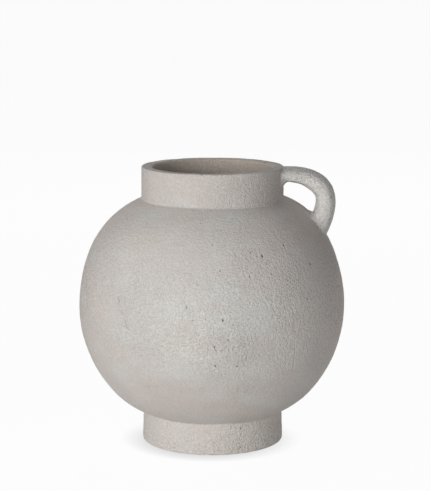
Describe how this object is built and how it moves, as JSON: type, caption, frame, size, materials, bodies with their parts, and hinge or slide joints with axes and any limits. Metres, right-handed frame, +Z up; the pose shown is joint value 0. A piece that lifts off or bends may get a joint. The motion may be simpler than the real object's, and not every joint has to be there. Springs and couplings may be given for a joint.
{
  "type": "round clay vase with handle",
  "caption": "Round unglazed clay vase with a straight collar, a straight foot ring and an ear handle, for holding stems or standing as decor.",
  "frame": {"origin": "middle of the foot ring on the surface the vase stands on", "axes": "+Z up through the mouth, +X towards the handle"},
  "size_m": [0.25, 0.25, 0.2605],
  "materials": {
    "sandy_clay": "matt, sandy, unglazed",
    "luting_clay": "matt, wiped smooth, unglazed",
    "handle_clay": "matt, finely sandy, unglazed"
  },
  "bodies": {
    "root": {"foot_ring": "sandy_clay", "foot_coil": "luting_clay", "lower_bowl": "sandy_clay", "upper_dome": "sandy_clay", "neck_coil": "luting_clay", "neck_collar": "sandy_clay", "handle_top_pad": "luting_clay", "handle_foot_pad": "luting_clay", "handle": "handle_clay"}
  },
  "joints": []
}
